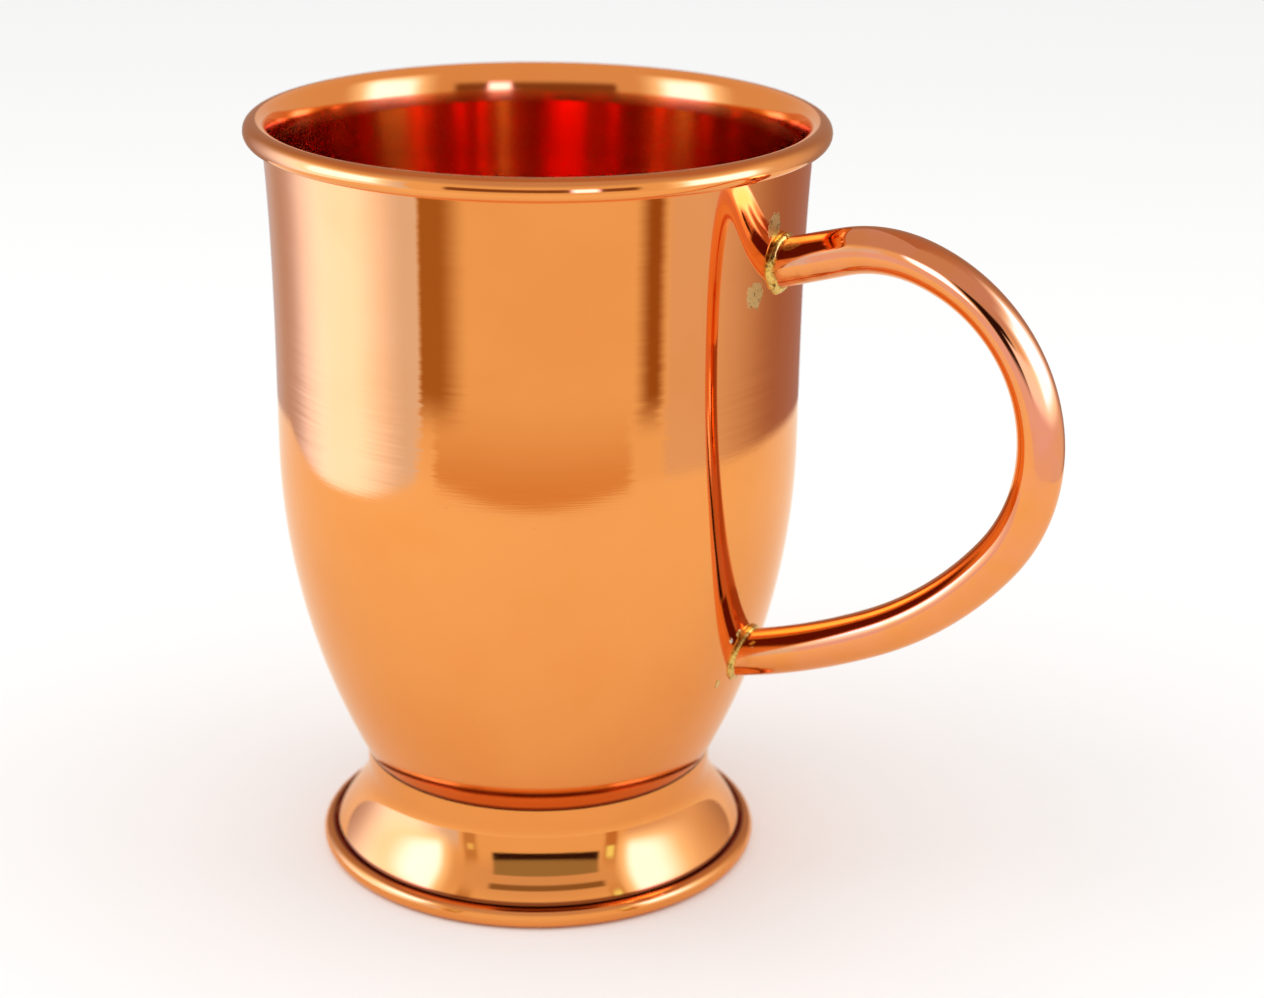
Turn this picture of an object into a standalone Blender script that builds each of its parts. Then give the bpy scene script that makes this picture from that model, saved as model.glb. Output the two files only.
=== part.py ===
"""A copper mug: a spun cup with a rolled rim, a spun foot ring and a bent tube handle.

The cup, the foot and the handle are three separate pieces, joined by three beads of braze.
All sizes are in metres. The mug stands on z = 0 with its handle towards +X, and the middle of
its whole outline, handle included, is over the origin.
"""

import math

import bmesh
import bpy
from mathutils import Vector
from mathutils.geometry import interpolate_bezier

# Driving dimensions
HEIGHT = 0.1212  # table to the top of the rim
RIM_RADIUS = 0.045  # axis to the outermost point of the rolled rim
RIM_BEAD = 0.0018  # outer radius of the rolled rim's own round section
RIM_CURL_END = math.radians(-110)  # stops just short of the wall, so the roll isn't sealed
SHEET = 0.0009  # thickness of the spun copper

WALL_RADIUS = 0.0411  # outside of the cup where the upright wall begins
WALL_START = 0.070  # height at which the rounded belly becomes the upright wall
WALL_FLARE_POWER = 3.5  # how late the upright wall starts to open out
BELLY_RADIUS = 0.115  # bend of the belly, seen from the side
BELLY_TURN = math.radians(28)  # angle that the belly turns through below the wall
CORNER_RADIUS = 0.008  # bend between the belly and the flat floor

NECK_RADIUS = 0.0282  # outside of the foot where it meets the cup
NECK_TOP = 0.0165  # height of the foot's upper edge, on its outside
NECK_BEVEL = 0.0018  # the upper edge is this much lower on its inside, to lie under the belly
NECK_END = 0.0135  # height at which the straight neck starts to spread
SKIRT_END = 0.00334  # height of the groove between the foot's skirt and its bead
SKIRT_RADIUS = 0.0335  # outside of the skirt at that groove
SKIRT_LEAN = 0.57  # how fast the skirt still spreads there, outwards per unit down
FOOT_BEAD = 0.0016  # outer radius of the foot bead's round section
FOOT_CURL_END = math.radians(98)  # stops just short of the skirt, which leaves the groove
LAND_HALF_ANGLE = math.radians(18)  # half of the bead's round section that is worn flat

TUBE_RADIUS = 0.00368  # outside of the handle tube where it is straight
TUBE_WALL = 0.0008
TUBE_FLATTENING = 0.16  # share of its radius that the tube loses in the tightest bend
TUBE_FLAT_AT = 0.040  # place of that bend, along the tube from its upper end
TUBE_FLAT_SPREAD = 0.022  # length of tube over which the flattening fades
HANDLE_START = Vector((0.038, 0, 0.1023))  # inside the wall, measured from the cup's axis
HANDLE_RISE = math.radians(16.7)  # slope at which the tube leaves the wall
HANDLE_STRAIGHT = 0.01415
HANDLE_BENDS = (  # radius and turn of each bend, from the top of the handle down
    (0.0213, math.radians(32.3)),
    (0.0275, math.radians(111.9)),
    (0.0545, math.radians(26.3)),
    (0.1055, math.radians(19.6)),
)
HANDLE_TAIL = 0.004  # straight end of the tube, inside the belly

BRAZE_GAP = 0.0003  # clearance kept between neighbouring pieces
UPPER_BRAZE = (0.0016, 0.0013)  # height along the tube and spread over the wall
LOWER_BRAZE = (0.0011, 0.0009)
BRAZE_TIP = 0.00045  # how far the thin end of the braze stands off the tube
BRAZE_TAPER = ((1.0, 0.25), (0.65, 0.75))  # shares of the spread, at shares of the height
FOOT_BRAZE_LEG = 0.0018  # depth of the bead inside the foot, under the cup
FOOT_BRAZE_WIDTH = 0.0029  # how far that bead runs in along the cup

SHARP_ANGLE = math.radians(35)  # edges that turn more than this stay crisp

TURNED_STEPS = 48  # facets round the cup and the foot
CORNER_STEPS = 3  # facets along each stretch of the turned sections
BELLY_STEPS = 9
WALL_STEPS = 5
SKIRT_POINTS = 7
RIM_STEPS = 10
BEAD_STEPS = 7
TUBE_STEPS = 14  # facets round the handle tube
TUBE_LENGTHS = 34  # facets along the handle tube

COPPER = (0.90, 0.43, 0.20)
DEEP_COPPER = (0.84, 0.36, 0.15)
BRASS = (0.86, 0.66, 0.30)

BEAD_CENTRE = (RIM_RADIUS - RIM_BEAD, HEIGHT - RIM_BEAD)
WALL_TOP_RADIUS = BEAD_CENTRE[0] - RIM_BEAD + SHEET
BELLY_CENTRE = (WALL_RADIUS - BELLY_RADIUS, WALL_START)
FLOOR_UNDERSIDE = (
    WALL_START
    - (BELLY_RADIUS - CORNER_RADIUS) * math.sin(BELLY_TURN)
    - CORNER_RADIUS
)


def clear_scene():
    for old in list(bpy.data.objects):
        bpy.data.objects.remove(old)


def finish_material(name, colour, roughness):
    material = bpy.data.materials.new(name)
    material.use_nodes = True
    shader = material.node_tree.nodes["Principled BSDF"]
    shader.inputs["Base Color"].default_value = (*colour, 1.0)
    shader.inputs["Metallic"].default_value = 1.0
    shader.inputs["Roughness"].default_value = roughness
    return material


def add_object(name, bm, material, parent):
    bmesh.ops.recalc_face_normals(bm, faces=bm.faces)
    mesh = bpy.data.meshes.new(name)
    bm.to_mesh(mesh)
    bm.free()
    mesh.shade_smooth()
    mesh.set_sharp_from_angle(angle=SHARP_ANGLE)
    piece = bpy.data.objects.new(name, mesh)
    bpy.context.scene.collection.objects.link(piece)
    piece.parent = parent
    if material:
        mesh.materials.append(material)
    return piece


def arc(centre, radius, start, end, steps):
    """Points of an arc in the (radius, height) plane; angles run anticlockwise from outwards."""
    angles = [start + (end - start) * i / steps for i in range(steps + 1)]
    return [
        (centre[0] + radius * math.cos(a), centre[1] + radius * math.sin(a))
        for a in angles
    ]


def offset_line(line, distance):
    """The line moved sideways, to its right as it is walked."""
    moved = []
    for i, (r, z) in enumerate(line):
        before = line[max(i - 1, 0)]
        after = line[min(i + 1, len(line) - 1)]
        along = (after[0] - before[0], after[1] - before[1])
        length = math.hypot(*along)
        moved.append(
            (r + distance * along[1] / length, z - distance * along[0] / length)
        )
    return moved


def turned(name, section, material, parent):
    """Spin a section of (radius, height) points round the Z axis, closing it unless it ends there."""
    bm = bmesh.new()
    corners = [bm.verts.new((r, 0, z)) for r, z in section]
    edges = [bm.edges.new(pair) for pair in zip(corners, corners[1:])]
    if section[0][0] > 0:
        edges.append(bm.edges.new((corners[-1], corners[0])))
    bmesh.ops.spin(
        bm,
        geom=corners + edges,
        axis=(0, 0, 1),
        angle=2 * math.pi,
        steps=TURNED_STEPS,
        use_merge=True,
    )
    bmesh.ops.remove_doubles(bm, verts=bm.verts, dist=1e-7)
    return add_object(name, bm, material, parent)


# The cup


def wall_radius(height):
    """Outside radius of the upright wall, which opens out towards the rim."""
    share = (height - WALL_START) / (BEAD_CENTRE[1] - WALL_START)
    return WALL_RADIUS + (WALL_TOP_RADIUS - WALL_RADIUS) * share**WALL_FLARE_POWER


def cup_outside(clearance=0.0):
    """The cup's outside, from the middle of the floor to the height of the rim's bead."""
    centre_r, centre_z = BELLY_CENTRE
    corner_centre = (
        centre_r + (BELLY_RADIUS - CORNER_RADIUS) * math.cos(BELLY_TURN),
        centre_z - (BELLY_RADIUS - CORNER_RADIUS) * math.sin(BELLY_TURN),
    )
    corner_radius = CORNER_RADIUS + clearance
    corner = arc(corner_centre, corner_radius, -math.pi / 2, -BELLY_TURN, CORNER_STEPS)
    belly = arc(BELLY_CENTRE, BELLY_RADIUS + clearance, -BELLY_TURN, 0, BELLY_STEPS)
    rise = BEAD_CENTRE[1] - WALL_START
    shares = [math.sqrt((i + 1) / WALL_STEPS) for i in range(WALL_STEPS)]
    heights = [WALL_START + rise * share for share in shares]
    wall = [(wall_radius(z) + clearance, z) for z in heights]
    return [(0.0, corner[0][1])] + corner + belly[1:] + wall


def rim_curl():
    """Both sides of the sheet where it rolls outwards: over the top, down and back under."""
    outer = arc(BEAD_CENTRE, RIM_BEAD, math.pi, RIM_CURL_END, RIM_STEPS)
    inner = arc(BEAD_CENTRE, RIM_BEAD - SHEET, math.pi, RIM_CURL_END, BEAD_STEPS)
    return outer, inner


def make_cup(material, parent):
    outside = cup_outside()
    inside = offset_line(outside, -SHEET)
    inside[0] = (0.0, FLOOR_UNDERSIDE + SHEET)
    curl_outer, curl_inner = rim_curl()
    section = (
        outside[:-1] + curl_inner + list(reversed(curl_outer)) + inside[-2::-1]
    )
    return turned("cup_body", section, material, parent)


# The foot


def make_foot(material, parent):
    drop = NECK_END - SKIRT_END
    skirt = interpolate_bezier(
        Vector((NECK_RADIUS, NECK_END)),
        Vector((NECK_RADIUS, NECK_END - drop / 3)),
        Vector((SKIRT_RADIUS - SKIRT_LEAN * drop / 3, SKIRT_END + drop / 3)),
        Vector((SKIRT_RADIUS, SKIRT_END)),
        SKIRT_POINTS,
    )
    outside = [(NECK_RADIUS, NECK_TOP)] + [tuple(point) for point in skirt]
    inside = offset_line(outside, SHEET)
    inside[0] = (NECK_RADIUS - SHEET, NECK_TOP - NECK_BEVEL)

    centre = (SKIRT_RADIUS - SHEET + FOOT_BEAD, FOOT_BEAD * math.cos(LAND_HALF_ANGLE))
    down = -math.pi / 2
    bead_outer = arc(centre, FOOT_BEAD, -math.pi, down - LAND_HALF_ANGLE, CORNER_STEPS)
    bead_outer += arc(centre, FOOT_BEAD, down + LAND_HALF_ANGLE, FOOT_CURL_END, BEAD_STEPS)
    bead_inner = arc(centre, FOOT_BEAD - SHEET, -math.pi, FOOT_CURL_END, BEAD_STEPS)
    section = outside + bead_inner + list(reversed(bead_outer)) + inside[::-1]
    return turned("foot_ring", section, material, parent)


# The handle


def handle_line():
    """Centre line of the tube as (place, direction, distance along it), in the plane y = 0."""
    line = []
    place = HANDLE_START.copy()
    heading = HANDLE_RISE
    travelled = 0.0
    total = HANDLE_STRAIGHT + HANDLE_TAIL + sum(r * turn for r, turn in HANDLE_BENDS)

    def walk(length, turn):
        nonlocal place, heading, travelled
        steps = max(2, round(TUBE_LENGTHS * length / total))
        for _ in range(steps):
            middle = heading - turn / steps / 2
            place = place + Vector((math.cos(middle), 0, math.sin(middle))) * (length / steps)
            heading -= turn / steps
            travelled += length / steps
            line.append((place, heading, travelled))

    line.append((place, heading, travelled))
    walk(HANDLE_STRAIGHT, 0.0)
    for radius, turn in HANDLE_BENDS:
        walk(radius * turn, turn)
    walk(HANDLE_TAIL, 0.0)
    return line


def tube_ring(bm, station, radius):
    """One round of vertices, flattened in the plane of the bend where the tube bends tightest."""
    place, heading, travelled = station
    flattening = TUBE_FLATTENING * math.exp(
        -(((travelled - TUBE_FLAT_AT) / TUBE_FLAT_SPREAD) ** 2)
    )
    across = Vector((-math.sin(heading), 0, math.cos(heading))) * (1 - flattening)
    sideways = Vector((0, 1, 0)) * (1 + flattening / 2)
    ring = []
    for i in range(TUBE_STEPS):
        angle = 2 * math.pi * i / TUBE_STEPS
        spoke = across * math.cos(angle) + sideways * math.sin(angle)
        ring.append(bm.verts.new(place + spoke * radius))
    return ring


def tube_skin(bm, line, radius):
    """The tube's surface at this radius. Returns its first and last rings."""
    rings = [tube_ring(bm, station, radius) for station in line]
    for here, there in zip(rings, rings[1:]):
        join_rings(bm, here, there)
    return rings[0], rings[-1]


def join_rings(bm, here, there):
    for i in range(len(here)):
        j = (i + 1) % len(here)
        bm.faces.new((here[i], here[j], there[j], there[i]))


def cut(piece, cutter):
    trim = piece.modifiers.new("cut by " + cutter.name, "BOOLEAN")
    trim.operation = "DIFFERENCE"
    trim.object = cutter


def as_cutter(guide):
    guide.hide_render = True
    guide.display_type = "WIRE"
    return guide


def make_handle(material, parent, cup_clearance):
    bm = bmesh.new()
    line = handle_line()
    outer_ends = tube_skin(bm, line, TUBE_RADIUS)
    inner_ends = tube_skin(bm, line, TUBE_RADIUS - TUBE_WALL)
    for outer, inner in zip(outer_ends, inner_ends):
        join_rings(bm, outer, inner)
    handle = add_object("handle_tube", bm, material, parent)
    cut(handle, cup_clearance)
    return handle


# The braze


def collar_ring(bm, station, away, normal, radius, height):
    """A round of the tube's section, slid along the tube until it is parallel to the wall."""
    ring = tube_ring(bm, station, radius)
    for corner in ring:
        short_by = height - (corner.co - station[0]).dot(normal)
        corner.co += away * (short_by / away.dot(normal))
    return ring


def make_braze(name, crossing, size, material, parent, cutters):
    """A tapered collar round one end of the tube, filling the corner between tube and cup."""
    height, spread = size
    station, away = crossing
    normal = wall_normal(station[0].z)
    profile = [(TUBE_RADIUS + spread, -TUBE_RADIUS)]
    profile += [(TUBE_RADIUS + spread * out, height * up) for out, up in BRAZE_TAPER]
    profile.append((TUBE_RADIUS + BRAZE_TIP, height))
    bm = bmesh.new()
    rings = [collar_ring(bm, station, away, normal, *step) for step in profile]
    for here, there in zip(rings, rings[1:]):
        join_rings(bm, here, there)
    bm.faces.new(rings[0])
    bm.faces.new(rings[-1])
    braze = add_object(name, bm, material, parent)
    for cutter in cutters:
        cut(braze, cutter)
    return braze


def wall_crossing(line):
    """Where the tube's centre line comes out of the cup, and its direction there."""
    for inner, outer in zip(line, line[1:]):
        inside_by = outside_radius(inner[0].z) - inner[0].x
        outside_by = outer[0].x - outside_radius(outer[0].z)
        if outside_by > 0:
            share = inside_by / (inside_by + outside_by)
            place = inner[0].lerp(outer[0], share)
            heading = inner[1] + (outer[1] - inner[1]) * share
            travelled = inner[2] + (outer[2] - inner[2]) * share
            away = (outer[0] - inner[0]).normalized()
            return (place, heading, travelled), away
    raise ValueError("the handle never leaves the cup")


def wall_normal(height):
    step = SHEET
    slope = (outside_radius(height + step) - outside_radius(height - step)) / (2 * step)
    return Vector((1, 0, -slope)).normalized()


def outside_radius(height):
    """Outside radius of the cup's wall and belly at this height."""
    if height > WALL_START:
        return wall_radius(height)
    drop = WALL_START - height
    return BELLY_CENTRE[0] + math.sqrt(BELLY_RADIUS**2 - drop**2)


def make_foot_braze(material, parent):
    """A bead in the corner between the foot's neck and the underside of the cup."""
    outer = NECK_RADIUS - SHEET - BRAZE_GAP
    top = NECK_TOP - NECK_BEVEL - BRAZE_GAP
    belly = cup_outside(BRAZE_GAP)
    inner_edge = [
        (r, z) for r, z in belly if outer - FOOT_BRAZE_WIDTH < r < outer - BRAZE_GAP
    ]
    section = [(outer, top - FOOT_BRAZE_LEG), (outer, top)] + inner_edge[::-1]
    return turned("foot_braze", section, material, parent)


def middle_of(pieces):
    """Midway along X between the outermost points of these pieces."""
    bpy.context.view_layer.update()
    graph = bpy.context.evaluated_depsgraph_get()
    reach = []
    for piece in pieces:
        shaped = piece.evaluated_get(graph)
        reach += [(piece.matrix_world @ v.co).x for v in shaped.data.vertices]
    return (min(reach) + max(reach)) / 2


def build():
    clear_scene()
    copper = finish_material("copper", COPPER, 0.10)
    foot_copper = finish_material("foot_copper", DEEP_COPPER, 0.12)
    tube_copper = finish_material("tube_copper", DEEP_COPPER, 0.12)
    brass = finish_material("braze", BRASS, 0.30)

    mug = bpy.data.objects.new("mug", None)
    bpy.context.scene.collection.objects.link(mug)

    wall_guide = cup_outside(BRAZE_GAP)
    wall_guide.append((0.0, wall_guide[-1][1]))
    cup_clearance = as_cutter(turned("cup_clearance", wall_guide, None, mug))

    bm = bmesh.new()
    line = handle_line()
    guide_ends = tube_skin(bm, line, TUBE_RADIUS + BRAZE_GAP)
    for ring in guide_ends:
        bm.faces.new(ring)
    tube_clearance = as_cutter(add_object("tube_clearance", bm, None, mug))

    pieces = [
        make_cup(copper, mug),
        make_foot(foot_copper, mug),
        make_foot_braze(brass, mug),
        make_handle(tube_copper, mug, cup_clearance),
    ]
    cutters = (cup_clearance, tube_clearance)
    upper = wall_crossing(line)
    lower = wall_crossing(line[::-1])
    pieces.append(make_braze("upper_braze", upper, UPPER_BRAZE, brass, mug, cutters))
    pieces.append(make_braze("lower_braze", lower, LOWER_BRAZE, brass, mug, cutters))
    mug.location.x = -middle_of(pieces)


build()
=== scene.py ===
"""A copper mug with a spun foot and a bent tube handle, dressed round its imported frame.

Shapes are worked out in millimetres from the cup's own axis and the table top, and are put into
the frame by in_frame(), which takes the mug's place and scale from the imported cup.
"""

import math

import bmesh
import bpy
import numpy as np
from mathutils import Matrix, Vector, noise
from mathutils.geometry import interpolate_bezier


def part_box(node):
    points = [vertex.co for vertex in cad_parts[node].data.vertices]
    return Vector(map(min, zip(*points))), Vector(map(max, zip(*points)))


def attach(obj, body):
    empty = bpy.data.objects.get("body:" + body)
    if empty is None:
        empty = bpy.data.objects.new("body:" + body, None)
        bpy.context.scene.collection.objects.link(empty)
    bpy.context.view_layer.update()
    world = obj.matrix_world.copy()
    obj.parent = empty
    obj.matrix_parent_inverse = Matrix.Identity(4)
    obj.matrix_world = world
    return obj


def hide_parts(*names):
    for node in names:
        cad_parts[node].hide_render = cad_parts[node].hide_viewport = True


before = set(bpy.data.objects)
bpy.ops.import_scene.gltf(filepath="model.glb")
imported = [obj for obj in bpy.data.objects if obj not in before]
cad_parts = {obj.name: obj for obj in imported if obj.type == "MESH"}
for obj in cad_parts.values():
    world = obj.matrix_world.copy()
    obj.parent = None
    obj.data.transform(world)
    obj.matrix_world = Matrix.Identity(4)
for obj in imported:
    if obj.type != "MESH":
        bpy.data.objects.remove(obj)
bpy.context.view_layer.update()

# The frame: where the cup's axis stands, and how long a millimetre of these shapes is
cup_low, cup_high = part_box("cup_body")
foot_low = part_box("foot_ring")[0]
RIM_RADIUS = 45.0
MM = (cup_high.y - cup_low.y) / 2 / RIM_RADIUS
AXIS = Vector(((cup_low.x + cup_high.x) / 2, (cup_low.y + cup_high.y) / 2, foot_low.z))
HEIGHT = (cup_high.z - foot_low.z) / MM

# The cup, in millimetres
RIM_BEAD = 1.8
SHEET = 0.9
WALL_RADIUS = 41.1
WALL_START = 70.0
WALL_FLARE_POWER = 3.5
BELLY_RADIUS = 115.0
BELLY_TURN = math.radians(28)
CORNER_RADIUS = 8.0
RIM_CURL_END = math.radians(-112)
LIP_BEND = 13.0  # radius of the gentle curve from the inside wall up to the rim's bead
LIP_TURN = math.radians(158)  # where on the bead that curve ends
RIPPLE = 0.008
RIPPLE_LENGTH = 14.0

# The foot
NECK_RADIUS = 28.2
NECK_TOP = 16.9
NECK_BEVEL = 1.9
NECK_END = 13.5
SKIRT_END = 3.34
SKIRT_RADIUS = 33.5
SKIRT_LEAN = 0.57
FOOT_BEAD = 1.6
LAND_HALF_ANGLE = math.radians(18)
FOOT_CURL_END = math.radians(99)

# The handle
TUBE_RADIUS = 3.68
TUBE_WALL = 0.8
TUBE_FLATTENING = 0.16
TUBE_FLAT_AT = 40.0
TUBE_FLAT_SPREAD = 22.0
HANDLE_START = Vector((38.0, 0, 102.3))
HANDLE_RISE = math.radians(16.7)
HANDLE_STRAIGHT = 14.15
HANDLE_BENDS = (
    (21.3, math.radians(32.3)),
    (27.5, math.radians(111.9)),
    (54.5, math.radians(26.3)),
    (105.5, math.radians(19.6)),
)
HANDLE_TAIL = 4.0
WALL_BITE = 0.25  # how far the tube's ends and the braze sink into the cup's sheet

# The braze: how far it runs out from each joint, and how lumpy it set
UPPER_LEGS = (1.0, 0.8)
LOWER_LEGS = (0.75, 0.6)
SEAM_LEG = 1.8
SEAM_BITE = 0.1
LUMPINESS = 0.25

# Marks by the joints: each has its angle round the cup in degrees, its height and its size
FLUX_STAINS = ((-4.0, 109.6, 2.0), (-10.0, 100.0, 2.1))
SPATTER = (
    ("drip_of_braze", -9.6, 36.2, (0.35, 0.8, 0.22), "gold"),
    ("silver_drop", -8.8, 43.9, (0.35, 0.4, 0.3), "silver"),
    ("pool_of_braze", -6.0, 44.6, (0.6, 0.65, 0.25), "gold"),
)

# How finely the shapes are cut
TURNED_STEPS = 320
FLOOR_STEPS = 8
CORNER_STEPS = 16
BELLY_STEPS = 48
WALL_STEPS = 44
LIP_STEPS = 20
RIM_OUTER_STEPS = 40
RIM_INNER_STEPS = 24
TOE_STEPS = 16
FOOT_OUTER_STEPS = 40
FOOT_INNER_STEPS = 36
NECK_STEPS = 12
SKIRT_STEPS = 64
TUBE_STEPS = 64
TUBE_LENGTHS = 260
COLLAR_STEPS = 160
COLLAR_ROUND_STEPS = 8
BLOB_ROUNDS = 10
BLOB_SPOKES = 24
SHARP_ANGLE = math.radians(50)  # edges sharper than this aren't smoothed over

BEAD_CENTRE = (RIM_RADIUS - RIM_BEAD, HEIGHT - RIM_BEAD)
BEAD_BOTTOM = HEIGHT - 2 * RIM_BEAD
WALL_TOP_RADIUS = BEAD_CENTRE[0] - RIM_BEAD + SHEET
BELLY_CENTRE = (WALL_RADIUS - BELLY_RADIUS, WALL_START)
CORNER_CENTRE = (
    BELLY_CENTRE[0] + (BELLY_RADIUS - CORNER_RADIUS) * math.cos(BELLY_TURN),
    BELLY_CENTRE[1] - (BELLY_RADIUS - CORNER_RADIUS) * math.sin(BELLY_TURN),
)
LIP_CENTRE = (
    BEAD_CENTRE[0] - (LIP_BEND - RIM_BEAD) * math.cos(LIP_TURN),
    BEAD_CENTRE[1] - (LIP_BEND - RIM_BEAD) * math.sin(LIP_TURN),
)


# Shapes


def in_frame(point):
    return AXIS + Vector(point) * MM


def add_piece(name, corners, faces, material, replaces=()):
    """A smooth-shaded mesh from points in millimetres, riding on the mug's one body."""
    mesh = bpy.data.meshes.new(name)
    mesh.from_pydata([in_frame(corner) for corner in corners], [], faces)
    mesh.validate()
    mesh.shade_smooth()
    mesh.set_sharp_from_angle(angle=SHARP_ANGLE)
    mesh.materials.append(material)
    piece = bpy.data.objects.new(name, mesh)
    bpy.context.scene.collection.objects.link(piece)
    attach(piece, "root")
    if replaces:
        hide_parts(*replaces)
    return piece


def arc(centre, radius, start, end, steps):
    angles = np.linspace(start, end, steps + 1)
    return [
        (centre[0] + radius * math.cos(a), centre[1] + radius * math.sin(a))
        for a in angles
    ]


def offset_line(line, distance):
    """The line moved sideways, to its right as it is walked."""
    moved = []
    for i, (r, z) in enumerate(line):
        before = line[max(i - 1, 0)]
        after = line[min(i + 1, len(line) - 1)]
        along = (after[0] - before[0], after[1] - before[1])
        length = math.hypot(*along)
        moved.append(
            (r + distance * along[1] / length, z - distance * along[0] / length)
        )
    return moved


def ripple(point):
    """The slight unevenness that polishing by hand leaves."""
    return RIPPLE * noise.noise(Vector(point) / RIPPLE_LENGTH)


def turned(section):
    """Corners and faces of a closed section of (radius, height) points spun round the axis."""
    steps = TURNED_STEPS
    corners = []
    rings = []
    for r, z in section:
        if r == 0:
            rings.append([len(corners)] * steps)
            corners.append((0.0, 0.0, z))
            continue
        rings.append([len(corners) + i for i in range(steps)])
        for i in range(steps):
            angle = 2 * math.pi * i / steps
            side = (math.cos(angle), math.sin(angle))
            out = r + ripple((r * side[0], r * side[1], z))
            corners.append((out * side[0], out * side[1], z))
    faces = []
    meets_axis = section[0][0] == 0
    for here, there in zip(rings, rings[1:] + ([] if meets_axis else rings[:1])):
        for i in range(steps):
            j = (i + 1) % steps
            face = [here[i], here[j], there[j], there[i]]
            faces.append(list(dict.fromkeys(face)))
    return corners, [face for face in faces if len(face) > 2]


# The cup


def wall_radius(height):
    share = (height - WALL_START) / (BEAD_CENTRE[1] - WALL_START)
    return WALL_RADIUS + (WALL_TOP_RADIUS - WALL_RADIUS) * share**WALL_FLARE_POWER


def outside_radius(height):
    """Outside radius of the cup's wall and belly at this height."""
    if height > WALL_START:
        return wall_radius(height)
    drop = WALL_START - height
    return BELLY_CENTRE[0] + math.sqrt(BELLY_RADIUS**2 - drop**2)


def cup_outside():
    """The cup's outside, from the middle of the floor to the height of the rim's bead."""
    corner = arc(CORNER_CENTRE, CORNER_RADIUS, -math.pi / 2, -BELLY_TURN, CORNER_STEPS)
    belly = arc(BELLY_CENTRE, BELLY_RADIUS, -BELLY_TURN, 0, BELLY_STEPS)
    heights = np.linspace(WALL_START, BEAD_CENTRE[1], WALL_STEPS)[1:]
    wall = [(wall_radius(z), z) for z in heights]
    floor_edge, floor_height = corner[0]
    floor = [(floor_edge * i / FLOOR_STEPS, floor_height) for i in range(FLOOR_STEPS)]
    return floor + corner + belly[1:] + wall


def make_cup(material):
    outside = cup_outside()
    inside = offset_line(outside, -SHEET)
    inside[0] = (0.0, outside[0][1] + SHEET)
    lip = arc(LIP_CENTRE, LIP_BEND, math.pi, LIP_TURN, LIP_STEPS)
    lip_radius, lip_height = lip[0]
    inside = [(min(r, lip_radius), z) for r, z in inside if z < lip_height]
    curl_outer = arc(BEAD_CENTRE, RIM_BEAD, LIP_TURN, RIM_CURL_END, RIM_OUTER_STEPS)
    curl_inner = arc(BEAD_CENTRE, RIM_BEAD - SHEET, math.pi, RIM_CURL_END, RIM_INNER_STEPS)
    section = outside[:-1] + curl_inner + curl_outer[::-1] + lip[-2::-1] + inside[::-1]
    corners, faces = turned(section)
    return add_piece("spun_cup", corners, faces, material, ["cup_body"])


# The foot


def make_foot(material):
    drop = NECK_END - SKIRT_END
    skirt = interpolate_bezier(
        Vector((NECK_RADIUS, NECK_END)),
        Vector((NECK_RADIUS, NECK_END - drop / 3)),
        Vector((SKIRT_RADIUS - SKIRT_LEAN * drop / 3, SKIRT_END + drop / 3)),
        Vector((SKIRT_RADIUS, SKIRT_END)),
        SKIRT_STEPS,
    )
    neck = [(NECK_RADIUS, z) for z in np.linspace(NECK_TOP, NECK_END, NECK_STEPS)[:-1]]
    outside = neck + [tuple(point) for point in skirt]
    inside = offset_line(outside, SHEET)
    inside = [point for point in inside if point[1] < NECK_TOP - NECK_BEVEL]

    centre = (SKIRT_RADIUS - SHEET + FOOT_BEAD, FOOT_BEAD * math.cos(LAND_HALF_ANGLE))
    land_start = -math.pi / 2 - LAND_HALF_ANGLE
    land_end = -math.pi / 2 + LAND_HALF_ANGLE
    bead_outer = arc(centre, FOOT_BEAD, -math.pi, land_start, TOE_STEPS)
    bead_outer += arc(centre, FOOT_BEAD, land_end, FOOT_CURL_END, FOOT_OUTER_STEPS)
    bead_inner = arc(centre, FOOT_BEAD - SHEET, -math.pi, FOOT_CURL_END, FOOT_INNER_STEPS)
    section = outside + bead_inner + bead_outer[::-1] + inside[::-1]
    corners, faces = turned(section)
    return add_piece("spun_foot", corners, faces, material, ["foot_ring"])


# The handle


def handle_line():
    """Centre line of the tube as (place, direction, distance along it), in the plane y = 0."""
    line = []
    place = HANDLE_START.copy()
    heading = HANDLE_RISE
    travelled = 0.0
    total = HANDLE_STRAIGHT + HANDLE_TAIL + sum(r * turn for r, turn in HANDLE_BENDS)

    def walk(length, turn):
        nonlocal place, heading, travelled
        steps = max(2, round(TUBE_LENGTHS * length / total))
        for _ in range(steps):
            middle = heading - turn / steps / 2
            step = Vector((math.cos(middle), 0, math.sin(middle))) * (length / steps)
            place = place + step
            heading -= turn / steps
            travelled += length / steps
            line.append((place, heading, travelled))

    line.append((place, heading, travelled))
    walk(HANDLE_STRAIGHT, 0.0)
    for radius, turn in HANDLE_BENDS:
        walk(radius * turn, turn)
    walk(HANDLE_TAIL, 0.0)
    return line


def tube_spoke(station, angle, radius):
    """A point round the tube at this station, flattened where the tube bends tightest."""
    place, heading, travelled = station
    faded = ((travelled - TUBE_FLAT_AT) / TUBE_FLAT_SPREAD) ** 2
    flattening = TUBE_FLATTENING * math.exp(-faded)
    across = Vector((-math.sin(heading), 0, math.cos(heading))) * (1 - flattening)
    sideways = Vector((0, 1, 0)) * (1 + flattening / 2)
    return place + (across * math.cos(angle) + sideways * math.sin(angle)) * radius


def tube_spokes(station, radius):
    angles = [2 * math.pi * i / TUBE_STEPS for i in range(TUBE_STEPS)]
    return [tube_spoke(station, angle, radius) for angle in angles]


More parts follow.
